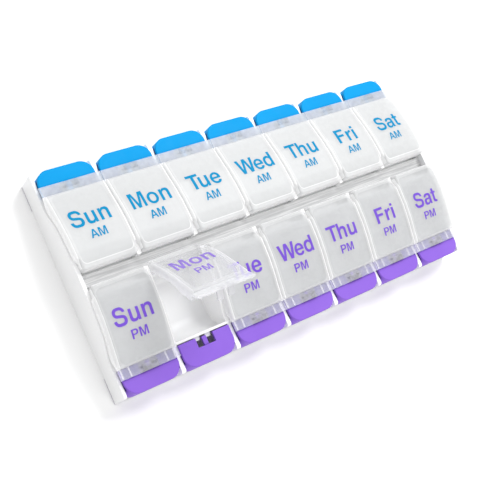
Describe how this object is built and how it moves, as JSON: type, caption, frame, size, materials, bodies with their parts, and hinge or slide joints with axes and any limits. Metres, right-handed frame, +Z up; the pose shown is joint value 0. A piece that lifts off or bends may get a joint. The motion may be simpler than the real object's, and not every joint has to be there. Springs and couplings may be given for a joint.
{
  "type": "weekly pill organizer",
  "caption": "Long white pill tray with a column for each day and an AM and a PM row. Each cell has a hinged clear lid and a coloured push button on a return spring.",
  "frame": {"origin": "on the table, under the middle of the tray", "axes": "+X along the week from Sunday to Saturday, +Y towards the AM row, +Z up"},
  "size_m": [0.2182, 0.1074, 0.0529],
  "materials": {
    "tray_white": "fine satin white polypropylene",
    "strip_clear": "clear, glossy",
    "lid_clear_am": "clear, slightly milky, glossy",
    "lid_clear_pm": "clear, slightly grey, glossy",
    "button_blue": "satin blue",
    "button_purple": "satin purple",
    "spring_steel": "plain spring wire"
  },
  "bodies": {
    "tray": {"tray": "tray_white", "hinge_cover_strip": "strip_clear", "spring_sun_am": "spring_steel", "spring_sun_pm": "spring_steel", "spring_mon_am": "spring_steel", "spring_mon_pm": "spring_steel", "spring_tue_am": "spring_steel", "spring_tue_pm": "spring_steel", "spring_wed_am": "spring_steel", "spring_wed_pm": "spring_steel", "spring_thu_am": "spring_steel", "spring_thu_pm": "spring_steel", "spring_fri_am": "spring_steel", "spring_fri_pm": "spring_steel", "spring_sat_am": "spring_steel", "spring_sat_pm": "spring_steel"},
    "lid_sun_am": {"lid_sun_am": "lid_clear_am"},
    "button_sun_am": {"button_sun_am": "button_blue"},
    "lid_sun_pm": {"lid_sun_pm": "lid_clear_pm"},
    "button_sun_pm": {"button_sun_pm": "button_purple"},
    "lid_mon_am": {"lid_mon_am": "lid_clear_am"},
    "button_mon_am": {"button_mon_am": "button_blue"},
    "lid_mon_pm": {"lid_mon_pm": "lid_clear_pm"},
    "button_mon_pm": {"button_mon_pm": "button_purple"},
    "lid_tue_am": {"lid_tue_am": "lid_clear_am"},
    "button_tue_am": {"button_tue_am": "button_blue"},
    "lid_tue_pm": {"lid_tue_pm": "lid_clear_pm"},
    "button_tue_pm": {"button_tue_pm": "button_purple"},
    "lid_wed_am": {"lid_wed_am": "lid_clear_am"},
    "button_wed_am": {"button_wed_am": "button_blue"},
    "lid_wed_pm": {"lid_wed_pm": "lid_clear_pm"},
    "button_wed_pm": {"button_wed_pm": "button_purple"},
    "lid_thu_am": {"lid_thu_am": "lid_clear_am"},
    "button_thu_am": {"button_thu_am": "button_blue"},
    "lid_thu_pm": {"lid_thu_pm": "lid_clear_pm"},
    "button_thu_pm": {"button_thu_pm": "button_purple"},
    "lid_fri_am": {"lid_fri_am": "lid_clear_am"},
    "button_fri_am": {"button_fri_am": "button_blue"},
    "lid_fri_pm": {"lid_fri_pm": "lid_clear_pm"},
    "button_fri_pm": {"button_fri_pm": "button_purple"},
    "lid_sat_am": {"lid_sat_am": "lid_clear_am"},
    "button_sat_am": {"button_sat_am": "button_blue"},
    "lid_sat_pm": {"lid_sat_pm": "lid_clear_pm"},
    "button_sat_pm": {"button_sat_pm": "button_purple"}
  },
  "joints": [
    {"name": "lid_hinge_sun_am", "type": "hinge", "parent": "tray", "child": "lid_sun_am", "pos_m": [-0.093, 0.006, 0.0193], "axis": [1, 0, 0], "range_deg": [0, 80]},
    {"name": "button_slide_sun_am", "type": "slide", "parent": "tray", "child": "button_sun_am", "axis": [0, 0, -1], "range_m": [0, 0.0016], "stiffness_N_per_m": 300, "springref_m": -0.002, "deforming": ["spring_sun_am"]},
    {"name": "lid_hinge_sun_pm", "type": "hinge", "parent": "tray", "child": "lid_sun_pm", "pos_m": [-0.093, -0.006, 0.0193], "axis": [-1, 0, 0], "range_deg": [0, 80]},
    {"name": "button_slide_sun_pm", "type": "slide", "parent": "tray", "child": "button_sun_pm", "axis": [0, 0, -1], "range_m": [0, 0.0016], "stiffness_N_per_m": 300, "springref_m": -0.002, "deforming": ["spring_sun_pm"]},
    {"name": "lid_hinge_mon_am", "type": "hinge", "parent": "tray", "child": "lid_mon_am", "pos_m": [-0.062, 0.006, 0.0193], "axis": [1, 0, 0], "range_deg": [0, 80]},
    {"name": "button_slide_mon_am", "type": "slide", "parent": "tray", "child": "button_mon_am", "axis": [0, 0, -1], "range_m": [0, 0.0016], "stiffness_N_per_m": 300, "springref_m": -0.002, "deforming": ["spring_mon_am"]},
    {"name": "lid_hinge_mon_pm", "type": "hinge", "parent": "tray", "child": "lid_mon_pm", "pos_m": [-0.062, -0.006, 0.0193], "axis": [-1, 0, 0], "range_deg": [-60, 20]},
    {"name": "button_slide_mon_pm", "type": "slide", "parent": "tray", "child": "button_mon_pm", "axis": [0, 0, -1], "range_m": [0, 0.0016], "stiffness_N_per_m": 300, "springref_m": -0.002, "deforming": ["spring_mon_pm"]},
    {"name": "lid_hinge_tue_am", "type": "hinge", "parent": "tray", "child": "lid_tue_am", "pos_m": [-0.031, 0.006, 0.0193], "axis": [1, 0, 0], "range_deg": [0, 80]},
    {"name": "button_slide_tue_am", "type": "slide", "parent": "tray", "child": "button_tue_am", "axis": [0, 0, -1], "range_m": [0, 0.0016], "stiffness_N_per_m": 300, "springref_m": -0.002, "deforming": ["spring_tue_am"]},
    {"name": "lid_hinge_tue_pm", "type": "hinge", "parent": "tray", "child": "lid_tue_pm", "pos_m": [-0.031, -0.006, 0.0193], "axis": [-1, 0, 0], "range_deg": [0, 80]},
    {"name": "button_slide_tue_pm", "type": "slide", "parent": "tray", "child": "button_tue_pm", "axis": [0, 0, -1], "range_m": [0, 0.0016], "stiffness_N_per_m": 300, "springref_m": -0.002, "deforming": ["spring_tue_pm"]},
    {"name": "lid_hinge_wed_am", "type": "hinge", "parent": "tray", "child": "lid_wed_am", "pos_m": [0, 0.006, 0.0193], "axis": [1, 0, 0], "range_deg": [0, 80]},
    {"name": "button_slide_wed_am", "type": "slide", "parent": "tray", "child": "button_wed_am", "axis": [0, 0, -1], "range_m": [0, 0.0016], "stiffness_N_per_m": 300, "springref_m": -0.002, "deforming": ["spring_wed_am"]},
    {"name": "lid_hinge_wed_pm", "type": "hinge", "parent": "tray", "child": "lid_wed_pm", "pos_m": [0, -0.006, 0.0193], "axis": [-1, 0, 0], "range_deg": [0, 80]},
    {"name": "button_slide_wed_pm", "type": "slide", "parent": "tray", "child": "button_wed_pm", "axis": [0, 0, -1], "range_m": [0, 0.0016], "stiffness_N_per_m": 300, "springref_m": -0.002, "deforming": ["spring_wed_pm"]},
    {"name": "lid_hinge_thu_am", "type": "hinge", "parent": "tray", "child": "lid_thu_am", "pos_m": [0.031, 0.006, 0.0193], "axis": [1, 0, 0], "range_deg": [0, 80]},
    {"name": "button_slide_thu_am", "type": "slide", "parent": "tray", "child": "button_thu_am", "axis": [0, 0, -1], "range_m": [0, 0.0016], "stiffness_N_per_m": 300, "springref_m": -0.002, "deforming": ["spring_thu_am"]},
    {"name": "lid_hinge_thu_pm", "type": "hinge", "parent": "tray", "child": "lid_thu_pm", "pos_m": [0.031, -0.006, 0.0193], "axis": [-1, 0, 0], "range_deg": [0, 80]},
    {"name": "button_slide_thu_pm", "type": "slide", "parent": "tray", "child": "button_thu_pm", "axis": [0, 0, -1], "range_m": [0, 0.0016], "stiffness_N_per_m": 300, "springref_m": -0.002, "deforming": ["spring_thu_pm"]},
    {"name": "lid_hinge_fri_am", "type": "hinge", "parent": "tray", "child": "lid_fri_am", "pos_m": [0.062, 0.006, 0.0193], "axis": [1, 0, 0], "range_deg": [0, 80]},
    {"name": "button_slide_fri_am", "type": "slide", "parent": "tray", "child": "button_fri_am", "axis": [0, 0, -1], "range_m": [0, 0.0016], "stiffness_N_per_m": 300, "springref_m": -0.002, "deforming": ["spring_fri_am"]},
    {"name": "lid_hinge_fri_pm", "type": "hinge", "parent": "tray", "child": "lid_fri_pm", "pos_m": [0.062, -0.006, 0.0193], "axis": [-1, 0, 0], "range_deg": [0, 80]},
    {"name": "button_slide_fri_pm", "type": "slide", "parent": "tray", "child": "button_fri_pm", "axis": [0, 0, -1], "range_m": [0, 0.0016], "stiffness_N_per_m": 300, "springref_m": -0.002, "deforming": ["spring_fri_pm"]},
    {"name": "lid_hinge_sat_am", "type": "hinge", "parent": "tray", "child": "lid_sat_am", "pos_m": [0.093, 0.006, 0.0193], "axis": [1, 0, 0], "range_deg": [0, 80]},
    {"name": "button_slide_sat_am", "type": "slide", "parent": "tray", "child": "button_sat_am", "axis": [0, 0, -1], "range_m": [0, 0.0016], "stiffness_N_per_m": 300, "springref_m": -0.002, "deforming": ["spring_sat_am"]},
    {"name": "lid_hinge_sat_pm", "type": "hinge", "parent": "tray", "child": "lid_sat_pm", "pos_m": [0.093, -0.006, 0.0193], "axis": [-1, 0, 0], "range_deg": [0, 80]},
    {"name": "button_slide_sat_pm", "type": "slide", "parent": "tray", "child": "button_sat_pm", "axis": [0, 0, -1], "range_m": [0, 0.0016], "stiffness_N_per_m": 300, "springref_m": -0.002, "deforming": ["spring_sat_pm"]}
  ]
}
